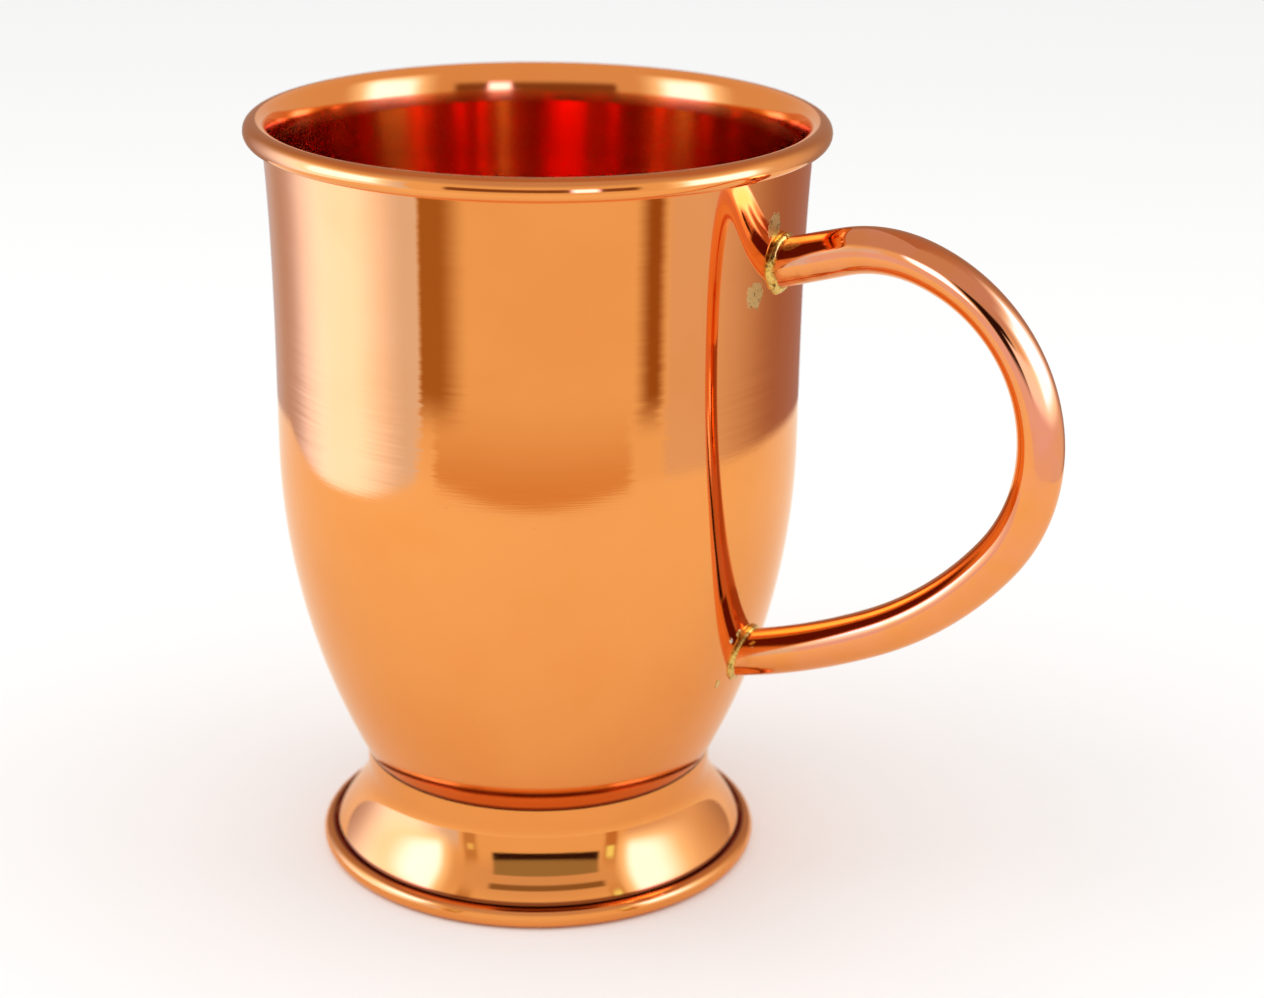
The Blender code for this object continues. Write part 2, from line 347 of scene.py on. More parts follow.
def outside_by(point, bite):
    """How far a point stands outside the cup's wall, sunk by bite."""
    return math.hypot(point.x, point.y) - (outside_radius(point.z) - bite)


def slide_to_wall(point, along, bite):
    """The point moved along a direction until it meets the cup's wall, sunk by bite."""
    step = 0.01
    for _ in range(12):
        here = outside_by(point, bite)
        slope = (outside_by(point + along * step, bite) - here) / step
        point = point - along * (here / slope)
    return point


def wall_crossing(line):
    """The tube's first station outside the wall, and the direction in which it leaves the cup."""
    for inner, outer in zip(line, line[1:]):
        if outside_by(outer[0], 0.0) > 0:
            return outer, (outer[0] - inner[0]).normalized()
    raise ValueError("the handle never leaves the cup")


def coped_end(line, radius):
    """The tube's end at this radius, cut to the curve of the wall."""
    station, away = wall_crossing(line)
    return [slide_to_wall(p, away, WALL_BITE) for p in tube_spokes(station, radius)]


def free_stations(line):
    """The stations that are clear of both cut ends."""
    clear = TUBE_RADIUS * 0.8
    return [s for s in line if outside_by(s[0], 0.0) > clear]


def tube_rings(line, radius):
    rings = [coped_end(line, radius)]
    rings += [tube_spokes(station, radius) for station in free_stations(line)]
    rings.append(coped_end(line[::-1], radius))
    return rings


def join(rings):
    """Faces between neighbouring rings of corners, and from the last ring back to the first."""
    count = len(rings[0])
    faces = []
    for k in range(len(rings)):
        here = k * count
        there = (k + 1) % len(rings) * count
        for i in range(count):
            j = (i + 1) % count
            faces.append([here + i, there + i, there + j, here + j])
    return faces


def make_handle(material):
    line = handle_line()
    outer = tube_rings(line, TUBE_RADIUS)
    inner = tube_rings(line, TUBE_RADIUS - TUBE_WALL)
    rings = outer + inner[::-1]
    corners = [corner for ring in rings for corner in ring]
    handle = add_piece(
        "bent_handle", corners, join(rings), material, ["handle_tube"]
    )
    add_grain(handle, len(outer))
    return handle


def add_grain(handle, stations):
    """Gives the tube's skin its own coordinates, long along the tube, for the drawing lines."""
    grain = handle.data.attributes.new("grain", "FLOAT_VECTOR", "POINT")
    for i, corner in enumerate(grain.data):
        angle = 2 * math.pi * (i % TUBE_STEPS) / TUBE_STEPS
        station = i // TUBE_STEPS % stations
        corner.vector = (3 * math.cos(angle), 3 * math.sin(angle), 6 * station / stations)


# The braze


def collar_point(station, away, angle, out, up):
    """A point round a joint: out from the tube's side, and up along the tube from the wall."""
    base = tube_spoke(station, angle, TUBE_RADIUS + out)
    return slide_to_wall(base, away, 0.0) + away * up


def lumps(angle, seed):
    """How thick a run of braze is here, as a share of its usual thickness."""
    place = Vector((math.cos(angle), math.sin(angle), 0)) * 1.6 + Vector((seed, 0, 0))
    return 1 + LUMPINESS * (noise.noise(place) + 0.4 * noise.noise(place * 3.1))


def make_collar(name, crossing, legs, seed, material, node):
    """The run of braze in the corner between the tube and the cup, up the tube and out from it."""
    station, away = crossing
    rings = []
    for i in range(COLLAR_STEPS):
        angle = 2 * math.pi * i / COLLAR_STEPS
        height = legs[0] * lumps(angle, seed)
        width = legs[1] * lumps(angle, seed + 9)
        ring = [
            (width * math.sin(t), height * math.cos(t))
            for t in np.linspace(0, math.pi / 2, COLLAR_ROUND_STEPS + 1)
        ]
        ring += [(width, -WALL_BITE), (-WALL_BITE, -WALL_BITE), (-WALL_BITE, height)]
        rings.append([collar_point(station, away, angle, *step) for step in ring])
    corners = [corner for ring in rings for corner in ring]
    return add_piece(name, corners, join(rings), material, [node])


def underside(radius):
    """How high the rounded corner under the cup stands at this radius."""
    middle_r, middle_z = CORNER_CENTRE
    return middle_z - math.sqrt(CORNER_RADIUS**2 - (radius - middle_r) ** 2)


def make_foot_seam(material):
    """The run of braze in the corner between the foot's neck and the underside of the cup."""
    outer = NECK_RADIUS - SHEET + SEAM_BITE
    rings = []
    for i in range(TURNED_STEPS):
        angle = 2 * math.pi * i / TURNED_STEPS
        size = SEAM_LEG * lumps(angle, 4.0)
        inner = outer - size
        top = underside(outer) + SEAM_BITE
        low = underside(inner) + SEAM_BITE
        ring = [(outer, top), (outer, low - size * 0.6)]
        ring += [(outer - size * 0.5, low - size * 0.35), (inner, low)]
        side = (math.cos(angle), math.sin(angle))
        rings.append([Vector((r * side[0], r * side[1], z)) for r, z in ring])
    corners = [corner for ring in rings for corner in ring]
    return add_piece("foot_seam", corners, join(rings), material, ["foot_braze"])


def make_blob(name, place, normal, size, seed, material):
    """A small frozen drop, size (across, along, thick), half sunk in the surface it sits on."""
    across = normal.cross(Vector((0, 0, 1))).normalized()
    along = normal.cross(across)
    rounds, spokes = BLOB_ROUNDS, BLOB_SPOKES
    corners = [place + normal * size[2], place - normal * size[2]]
    for k in range(1, rounds):
        tilt = math.pi * k / rounds
        for i in range(spokes):
            turn = 2 * math.pi * i / spokes
            spot = Vector((math.cos(turn), math.sin(turn), math.cos(tilt))) * 1.3
            swell = 1 + 0.25 * noise.noise(spot + Vector((seed, seed, 0)))
            out = math.sin(tilt) * swell
            corners.append(
                place
                + across * (size[0] * out * math.cos(turn))
                + along * (size[1] * out * math.sin(turn))
                + normal * (size[2] * math.cos(tilt))
            )
    faces = []
    for k in range(rounds - 2):
        for i in range(spokes):
            here = 2 + k * spokes
            j = (i + 1) % spokes
            faces.append([here + i, here + spokes + i, here + spokes + j, here + j])
    last = 2 + (rounds - 2) * spokes
    for i in range(spokes):
        j = (i + 1) % spokes
        faces.append([0, 2 + i, 2 + j])
        faces.append([1, last + j, last + i])
    return add_piece(name, corners, faces, material)


def on_cup(angle, height):
    """A place on the cup's outside, and the way it faces."""
    out = Vector((math.cos(angle), math.sin(angle), 0))
    slope = outside_radius(height + 0.5) - outside_radius(height - 0.5)
    place = out * outside_radius(height) + Vector((0, 0, height))
    return place, (out - Vector((0, 0, slope))).normalized()


# Materials


class Tree:
    """Adds nodes to the tree of a material or a world, and joins them up."""

    def __init__(self, owner):
        owner.use_nodes = True
        self.nodes = owner.node_tree.nodes
        self.links = owner.node_tree.links
        self.nodes.clear()

    def add(self, kind, inputs, **settings):
        node = self.nodes.new("ShaderNode" + kind)
        for name, value in settings.items():
            setattr(node, name, value)
        for socket, value in inputs.items():
            self.feed(node.inputs[socket], value)
        return node

    def feed(self, socket, value):
        if isinstance(value, bpy.types.NodeSocket):
            self.links.new(value, socket)
        elif socket.type == "RGBA":
            socket.default_value = (*value, 1.0)
        else:
            socket.default_value = value

    def calc(self, operation, *values):
        return self.add("Math", dict(enumerate(values)), operation=operation).outputs[0]

    def product(self, *values):
        result = values[0]
        for value in values[1:]:
            result = self.calc("MULTIPLY", result, value)
        return result

    def less(self, value, taken):
        return self.calc("SUBTRACT", value, taken)

    def plus(self, value, share, amount):
        """The value with this share of an amount added."""
        return self.calc("MULTIPLY_ADD", share, amount, value)

    def hypot(self, across, up):
        squares = self.calc("ADD", self.product(across, across), self.product(up, up))
        return self.calc("SQRT", squares)

    def ramp(self, value, low, high):
        """0 at low and 1 at high, with a smooth step between them."""
        node = self.add(
            "MapRange",
            {"Value": value, "From Min": low, "From Max": high},
            interpolation_type="SMOOTHSTEP",
        )
        return node.outputs[0]

    def window(self, value, edges):
        """1 between the middle two of these edges, fading to 0 at the outer two."""
        fade_in = self.ramp(value, edges[0], edges[1])
        return self.product(fade_in, self.ramp(value, edges[3], edges[2]))

    def mix(self, share, under, over):
        return self.add("Mix", {0: share, 6: under, 7: over}, data_type="RGBA").outputs[2]

    def noise(self, place, scale, detail=2.0):
        inputs = {"Vector": place, "Scale": scale, "Detail": detail}
        return self.add("TexNoise", inputs).outputs["Fac"]

    def split(self, vector):
        return self.add("SeparateXYZ", {0: vector}).outputs

    def join(self, x, y, z):
        return self.add("CombineXYZ", {0: x, 1: y, 2: z}).outputs[0]

    def in_millimetres(self, point):
        """A point of the frame, in millimetres from the cup's axis and the table top."""
        shift = self.add("VectorMath", {0: point, 1: AXIS}, operation="SUBTRACT")
        scale = {0: shift.outputs[0], "Scale": 1 / MM}
        return self.add("VectorMath", scale, operation="SCALE").outputs[0]

    def place(self):
        return self.in_millimetres(self.add("TexCoord", {}).outputs["Object"])

    def away_from(self, place, point):
        inputs = {0: place, 1: point}
        return self.add("VectorMath", inputs, operation="DISTANCE").outputs["Value"]


# The metal's grain: how deep it is in millimetres, how much the cup's brushing adds to its
# roughness, and how much more than that it adds inside the cup
GRAIN_DEPTH = 0.02
WALL_BRUSHING = -0.03
INSIDE_BRUSHING = 0.14

COPPER = (0.90, 0.38, 0.115)
# painted shade: the darker, redder copper inside the cup
INSIDE_SHADED_COPPER = (0.70, 0.24, 0.06)
DEEP_COPPER = (0.88, 0.355, 0.10)
TUBE_COPPER = (0.89, 0.37, 0.155)
# heat tint with a painted reflection of the cup by the handle's joints, and painted deep red in
# the crease round the foot's neck
FIRED_AND_REFLECTED_COPPER = (0.50, 0.10, 0.03)
# painted shade for the groove over the foot's bead and the crease round the foot's neck
CREASE_SHADE = (0.20, 0.035, 0.010)
BRASS = (0.80, 0.58, 0.17)
OLIVE = (0.22, 0.15, 0.03)
SOOT = (0.035, 0.022, 0.012)
FLUX = (0.72, 0.62, 0.27)
SILVER = (0.80, 0.80, 0.76)


def metal(tree, colour, roughness, height, strength, brushed=None):
    """The shader every piece ends in: bare metal, with its grain as a bump.

    Where it is brushed, the lines run round the axis and draw its reflections out up and down.
    """
    distance = GRAIN_DEPTH * MM
    bump = tree.add("Bump", {"Height": height, "Strength": strength, "Distance": distance})
    shader = tree.add(
        "BsdfPrincipled",
        {
            "Base Color": colour,
            "Metallic": 1.0,
            "Roughness": roughness,
            "Normal": bump.outputs[0],
        },
    )
    if brushed is not None:
        round_axis = tree.add("Tangent", {}, direction_type="RADIAL", axis="Z")
        tree.feed(shader.inputs["Tangent"], round_axis.outputs[0])
        tree.feed(shader.inputs["Anisotropic"], brushed)
        tree.feed(shader.inputs["Anisotropic Rotation"], 0.25)
    tree.add("OutputMaterial", {"Surface": shader.outputs[0]})


def away_from_ring(tree, place, ring):
    """How far a place is from a ring round the axis, given as (radius, height)."""
    x, y, z = tree.split(place)
    return tree.hypot(tree.less(tree.hypot(x, y), ring[0]), tree.less(z, ring[1]))


def turned_grain(tree, place, scale):
    """Fine lines left by the polishing mop as the work span, from 0 to 1."""
    x, y, z = tree.split(place)
    radius = tree.hypot(x, y)
    across = tree.join(
        tree.calc("DIVIDE", x, radius), tree.calc("DIVIDE", y, radius), 0.0
    )
    stretched = tree.add(
        "VectorMath",
        {0: across, 1: (1.2, 1.2, 1.2), 2: tree.join(0.0, radius, z)},
        operation="MULTIPLY_ADD",
    ).outputs[0]
    return tree.noise(stretched, scale, 4.0)


def pits(tree, place, spacing, size):
    """1 in a few small specks, and 0 elsewhere."""
    cells = tree.add("TexVoronoi", {"Vector": place, "Scale": 1 / spacing})
    dot = tree.ramp(cells.outputs["Distance"], size / spacing, size / spacing * 0.4)
    chance = tree.split(cells.outputs["Color"])[0]
    return tree.product(dot, tree.ramp(chance, 0.80, 0.82))


def polished_copper(name):
    """Bright spun copper: the base look of the cup and the foot."""
    material = bpy.data.materials.new(name)
    tree = Tree(material)
    place = tree.place()
    grain = turned_grain(tree, place, 5.0)
    cloud = tree.noise(place, 0.05, 3.0)
    specks = pits(tree, place, 4.0, 0.10)
    tone = tree.mix(tree.ramp(cloud, 0.35, 0.75), COPPER, DEEP_COPPER)
    tone = tree.mix(tree.product(specks, 0.8), tone, SOOT)
    roughness = tree.plus(tree.plus(0.03, grain, 0.04), cloud, 0.03)
    return material, tree, place, tone, roughness, grain


def add_flux_stains(tree, place, tone, roughness):
    """Dull pale patches with frayed edges, where flux dried beside the upper joint."""
    fray = tree.product(tree.noise(place, 1.3, 4.0), 2.4)
    for angle, height, size in FLUX_STAINS:
        spot = on_cup(math.radians(angle), height)[0]
        reach = tree.calc("ADD", tree.away_from(place, spot), fray)
        stain = tree.ramp(reach, size + 1.25, size + 0.95)
        crust = tree.product(stain, tree.ramp(tree.noise(place, 1.6, 3.0), 0.58, 0.66))
        tone = tree.mix(tree.product(stain, 0.8), tone, FLUX)
        tone = tree.mix(tree.product(crust, 0.8), tone, OLIVE)
        roughness = tree.plus(roughness, stain, 0.30)
    return tone, roughness


def add_painted_seam_shade(tree, place, tone):
    """Painted shade: a dark line in the crease round the top of the foot's neck, and a painted
    deeper red either side of it for light bouncing in the corner.
    """
    away = away_from_ring(tree, place, (NECK_RADIUS, NECK_TOP))
    corner_red = tree.product(tree.ramp(away, 5.0, 1.5), 0.35)
    crease_shade = tree.product(tree.ramp(away, 1.1, 0.5), 0.9)
    return tree.mix(crease_shade, tree.mix(corner_red, tone, FIRED_AND_REFLECTED_COPPER), CREASE_SHADE)


def faces_outwards(tree, place):
    """1 where the metal faces away from the cup's axis, and 0 where it faces the axis."""
    x, y, _ = tree.split(place)
    facing_x, facing_y, _ = tree.split(tree.add("NewGeometry", {}).outputs["Normal"])
    facing = tree.calc("ADD", tree.product(facing_x, x), tree.product(facing_y, y))
    return tree.ramp(facing, -20.0, -8.0)


def cup_copper():
    material, tree, place, tone, roughness, grain = polished_copper("cup_copper")
    tone, roughness = add_flux_stains(tree, place, tone, roughness)
    # painted shade and a painted deep red in the crease round the foot's neck
    tone = add_painted_seam_shade(tree, place, tone)
    height = tree.split(place)[2]
    under_rim = tree.ramp(height, BEAD_BOTTOM, BEAD_BOTTOM - 1)
    outside = faces_outwards(tree, place)
    within = tree.product(tree.less(1.0, outside), under_rim)
    brushed = tree.product(under_rim, tree.ramp(height, NECK_TOP + 4, NECK_TOP + 14))
    roughness = tree.plus(roughness, brushed, WALL_BRUSHING)
    roughness = tree.plus(roughness, within, INSIDE_BRUSHING)
    # Painted shade: the inside of the cup is given a darker, redder copper, for the light lost and
    # reddened as it bounces between the walls
    tone = tree.mix(within, tone, INSIDE_SHADED_COPPER)
    strength = tree.plus(0.01, outside, 0.04)
    metal(tree, tone, roughness, grain, strength, brushed=tree.product(brushed, 0.96))
    return material


def foot_copper():
    material, tree, place, tone, roughness, grain = polished_copper("foot_copper")
    # Painted shade: the groove between the skirt and the bead is darkened, where shade falls in
    # the recess
    groove = (SKIRT_RADIUS + 0.25, SKIRT_END - 0.1)
    crease_shade = tree.ramp(away_from_ring(tree, place, groove), 0.75, 0.45)
    tone = tree.mix(tree.product(crease_shade, 0.9), tone, CREASE_SHADE)
    metal(tree, tone, roughness, grain, 0.08)
    return material


def tube_copper():
    material = bpy.data.materials.new("tube_copper")
    tree = Tree(material)
    place = tree.place()
    drawn = tree.add("Attribute", {}, attribute_name="grain").outputs["Vector"]
    grain = tree.noise(drawn, 3.0, 4.0)
    cloud = tree.noise(place, 0.12, 3.0)
    tone = tree.mix(tree.ramp(cloud, 0.35, 0.75), TUBE_COPPER, DEEP_COPPER)
    # Red-brown patches by each joint: partly heat tint from brazing, partly a painted reflection
    # of the cup's rim and wall on the top of the tube
    for joint, reach in ((UPPER_JOINT, 12.0), (LOWER_JOINT, 7.0)):
        near = tree.ramp(tree.away_from(place, joint), reach, reach * 0.35)
        patch = tree.ramp(tree.noise(place, 0.35, 3.0), 0.42, 0.62)
        tone = tree.mix(tree.product(near, patch, 0.35), tone, FIRED_AND_REFLECTED_COPPER)
    specks = pits(tree, place, 2.2, 0.12)
    low = tree.ramp(tree.split(place)[2], 75.0, 50.0)
    tone = tree.mix(tree.product(specks, low, 0.85), tone, SOOT)
    metal(tree, tone, tree.plus(0.04, grain, 0.05), grain, 0.08)
    return material


def braze_brass(name, colour, dark, roughness):
    """Braze as it sets: bright where it ran, with dark flux left in its hollows."""
    material = bpy.data.materials.new(name)
    tree = Tree(material)
    place = tree.place()
    mottle = tree.noise(place, 1.4, 4.0)
    crust = tree.ramp(mottle, 0.56, 0.70)
    soot = tree.product(tree.ramp(tree.noise(place, 3.0), 0.56, 0.68), dark)
    tone = tree.mix(soot, tree.mix(crust, colour, OLIVE), SOOT)
    metal(tree, tone, tree.plus(roughness, mottle, 0.25), mottle, 0.25)
    return material


# The stage

# The camera of the photograph, found from the mug's outline
CAMERA_DISTANCE = 399.9
CAMERA_HEIGHT = 203.1
CAMERA_AZIMUTH = math.radians(-60.07)
CAMERA_PITCH = math.radians(19.85)
CAMERA_YAW = math.radians(2.15)
CAMERA_ROLL = math.radians(0.71)
LENS = 75.19
APERTURE = 18.0

# The lamps over the table: how far out they stand, how high, how big they are (in metres), and the
# height on the mug that they point at
LAMP_REACH = 450.0
LAMP_HEIGHT = 520.0
LAMP_SIZE = 0.5
LAMP_AIM = 40.0

# The floor's half width and the dome's radius, in metres
FLOOR_REACH = 3.0
DOME = 3.0

# The part of the table that the metal sees lies inside these rounds: the radius of each in
# millimetres, and how far its middle stands from the mug, away from the camera and to the
# camera's right. The camera itself sees the whole floor.
TABLE_EDGES = ((250.0, 0.0, 0.0), (304.0, 67.0, 0.0), (380.0, 0.0, 154.0))

# What the polished metal sees of the studio. It is fitted to the photograph from its own camera,
# and each part of the mug is shown its own lamps and screens, which no real room could do.
# Directions are in degrees: sides are turned from the camera's own direction, plus to its right,
# and heights are above the level. Each card fades in between its first two numbers and out
# between its last two. Colours are those of the light itself, before copper takes most of the
# blue out of it, so WHITE and GLOW are bluer than they look in the metal.
ALL_ROUND = (-182, -181, 181, 182)
ANY_HEIGHT = (-91, -90, 90, 91)
BELOW_LEVEL = (-91, -90, -14, -6)
FRONT_GLOW = (0.95, 0.82, 0.65)
BACK_GLOW = (0.42, 0.28, 0.22)
CEILING_GLOW = (0.64, 0.51, 0.50)
BACK_CEILING = (0.50, 0.28, 0.22)
WHITE = (3.20, 2.95, 7.00)
BLACK = (0.03, 0.01, 0.008)
GLOW = (1.50, 1.90, 2.40)


def lamp(part, sides, heights):
    """Two cards: the warm glow round a lamp, and the white lamp in its middle."""
    inner = [
        ((edges[0] + edges[1]) / 2, edges[1], edges[2], (edges[2] + edges[3]) / 2)
        for edges in (sides, heights)
    ]
    return (part, sides, heights, GLOW), (part, *inner, WHITE)


CARDS = (
    # the whole mug: a white screen on each side, with a lamp behind the left one
    ("mug", (-150, -112, -53, -50), (-91, -90, 10, 32), (0.86, 1.00, 1.60)),
    ("mug", (-132, -102, -88, -57), (-91, -90, 10, 32), (1.60, 2.00, 3.50)),
    ("mug", (54, 59, 78, 142), (-91, -90, 10, 36), (0.86, 0.77, 0.82)),
    # the cup's wall: the dim room behind the screens
    ("wall", (70, 130, 190, 191), ANY_HEIGHT, (0.42, 0.23, 0.19)),
    ("wall", (-191, -190, -155, -118), ANY_HEIGHT, (0.62, 0.52, 0.50)),
    # what the handle sees in the wall beside it: a lamp, and the dark bar over the camera
    ("beside", (58, 80, 100, 122), (10, 18, 60, 61), (3.20, 3.60, 3.20)),
    ("beside", (-40, -28, 40, 54), (6, 13, 60, 61), (0.13, 0.03, 0.02)),
    # the wall's upper part: the dark edges of the two screens
    ("upper", (-53, -50, -43, -29), BELOW_LEVEL, (0.43, 0.23, 0.08)),
    ("upper", (40, 49, 51, 57), BELOW_LEVEL, (0.36, 0.16, 0.045)),
    # the wall's lower part: a bright gap, and the dim front of the table under the camera
    ("edge", (-56, -52, -48, -44), BELOW_LEVEL, (1.05, 0.92, 0.78)),
    ("edge", (-47, -43, 37, 43), BELOW_LEVEL, (0.76, 0.45, 0.22)),
    # the rim and the lip inside it: both lamps, small glints beyond them, and a bright gap in the
    # dark bar over the camera
    *lamp("rim", (-108, -94, -68, -52), (-30, -10, 14, 34)),
    *lamp("rim", (46, 62, 86, 102), (-30, -10, 14, 34)),
    ("lip", ALL_ROUND, ANY_HEIGHT, (0.80, 0.62, 0.50)),
    *lamp("lip", (-100, -76, -64, -44), (-36, -16, 18, 40)),
    *lamp("lip", (44, 62, 76, 98), (-36, -16, 18, 40)),
    *lamp("lip", (122, 126, 130, 134), (-36, -24, -14, 0)),
    *lamp("lip", (96, 99, 103, 107), (-36, -24, -14, 0)),
    *lamp("lip", (-138, -134, -130, -126), (-36, -24, -14, 0)),
    ("rim", (-37, -34, 36, 40), (-14, -8, 12, 20), (0.25, 0.11, 0.05)),
    ("rim", (11, 14, 21, 24), (-14, -8, 12, 20), WHITE),
    # the inside: a dark room with a dim red screen on each side
    ("inside", ALL_ROUND, ANY_HEIGHT, (0.02, 0.001, 0.002)),
    ("inside", (-114, -96, -12, -2), ANY_HEIGHT, (0.13, 0.003, 0.002)),
    ("inside", (12, 22, 96, 114), ANY_HEIGHT, (0.13, 0.003, 0.002)),
    # the foot: lamps up high, their stands with a light on each, and the dark bar over the camera
    *lamp("foot", (-136, -80, -68, -54), (2, 26, 37, 52)),
    *lamp("foot", (48, 62, 74, 122), (0, 27, 39, 50)),
    ("foot", (-50, -47, -42, -38), (-20, -6, 30, 38), (0.64, 0.45, 0.28)),
    ("foot", (41, 44, 49, 52), (-20, -6, 30, 38), (0.61, 0.37, 0.18)),
    ("foot", (-47, -45, -43, -41), (15, 19, 23, 26), (1.00, 1.10, 0.70)),
    ("foot", (43, 45, 48, 50), (20, 23, 30, 34), (1.10, 1.60, 1.00)),
    ("skirt", (-31, -29, 38, 40), (26, 27.5, 90, 91), (0.38, 0.36, 0.26)),
    ("skirt", (-31, -29, 38, 40), (26, 27.5, 32, 35), BLACK),
    ("line", (-33, -30, 40, 43), (26, 27.5, 90, 91), (0.30, 0.22, 0.12)),
    # the handle: the room behind it, lamps to both sides, bright strips, and the dark camera
    ("handle", (-138, -100, 60, 145), (-30, -14, 0, 10), (0.93, 0.82, 1.20)),
    ("handle", (-181, -180, 90, 160), (24, 42, 90, 91), (0.66, 0.51, 0.60)),
    *lamp("handle", (-132, -112, -76, -60), (-12, 8, 22, 32)),
    ("handle", (-46, -42, -32, -26), (4, 12, 26, 36), (2.60, 3.60, 9.00)),
    ("handle", (-6, 3, 112, 134), (-4, 5, 18, 27), (1.30, 1.50, 2.20)),
    *lamp("handle", (32, 64, 108, 130), (-6, 10, 36, 54)),
    ("joint", (6, 24, 100, 124), (8, 18, 60, 70), (5.00, 6.00, 14.00)),
    ("handle", (-26, -20, -5, 2), (-6, 8, 30, 38), BLACK),
    ("handle", (-26, -20, 10, 18), (20, 23, 30, 38), BLACK),
)

# The strips of light that the brushed inside of the cup draws out into streaks: where the middle
# of each one stands, how far it reaches to each side, and its colour. A real cup's inside is red
# because light bounces between its copper walls many times. Here the strips are red themselves.
RED_STREAK = (18.00, 0.045, 0.018)
BROWN_STREAK = (10.50, 6.40, 2.50)
STRIPS = (
    (-82, 3, RED_STREAK),
    (-70, 5, BROWN_STREAK),
    (-57, 2, RED_STREAK),
    (-35, 2, RED_STREAK),
    (-14, 9, RED_STREAK),
    (16, 3, BROWN_STREAK),
    (26, 2, RED_STREAK),
    (36, 3, RED_STREAK),
    (57, 4, RED_STREAK),
    (70, 9, BROWN_STREAK),
)
STRIP_HEIGHTS = (-30, -20, 50, 70)


def strip(side, width, colour):
    """A card for one strip of light, which fades over the outer half of its width."""
    sides = (side - width, side - width / 2, side + width / 2, side + width)
    return "inside", sides, STRIP_HEIGHTS, colour


CARDS += tuple(strip(*settings) for settings in STRIPS)

# How widely, in degrees, the brush lines on the wall scatter what they reflect to the sides, and
# how much more widely they do so low on the wall
WANDER = 1.6
LOW_WANDER = 10.0


def towards_camera():
    return Vector((math.cos(CAMERA_AZIMUTH), math.sin(CAMERA_AZIMUTH), 0))


def make_camera():
    camera = bpy.data.objects.new("camera", bpy.data.cameras.new("camera"))
    camera.data.lens = LENS
    camera.data.clip_start = 0.01
    stand = towards_camera() * CAMERA_DISTANCE + Vector((0, 0, CAMERA_HEIGHT))
    heading = CAMERA_AZIMUTH + math.pi / 2 - CAMERA_YAW
    camera.matrix_world = (
        Matrix.Translation(in_frame(stand))
        @ Matrix.Rotation(heading, 4, "Z")
        @ Matrix.Rotation(math.pi / 2 - CAMERA_PITCH, 4, "X")
        @ Matrix.Rotation(CAMERA_ROLL, 4, "Z")
    )
    focus = bpy.data.objects.new("focus", None)
    focus.location = in_frame(on_cup(CAMERA_AZIMUTH, WALL_START)[0])
    bpy.context.scene.collection.objects.link(focus)
    camera.data.dof.use_dof = True
    camera.data.dof.aperture_fstop = APERTURE
    camera.data.dof.focus_object = focus
    bpy.context.scene.collection.objects.link(camera)
    bpy.context.scene.camera = camera


def make_world():
    """White for the camera, and a soft white light for whatever isn't a mirror."""
    world = bpy.data.worlds.new("white_room")
    bpy.context.scene.world = world
    world.cycles.sampling_method = "NONE"
    tree = Tree(world)
    ray = tree.add("LightPath", {}).outputs
    colour = tree.mix(ray["Is Camera Ray"], (0.95, 0.95, 0.95), (1.0, 1.0, 1.0))
    light = tree.add("Background", {"Color": colour})
    tree.add("OutputWorld", {"Surface": light.outputs[0]})


def ray_start(tree, surface, ray_length):
    """The place on the mug that a ray left to reach the dome."""
    back = tree.add(
        "VectorMath", {0: surface["Incoming"], "Scale": ray_length}, operation="SCALE"
    ).outputs[0]
    start = tree.add("VectorMath", {0: surface["Position"], 1: back}).outputs[0]
    return tree.in_millimetres(start)


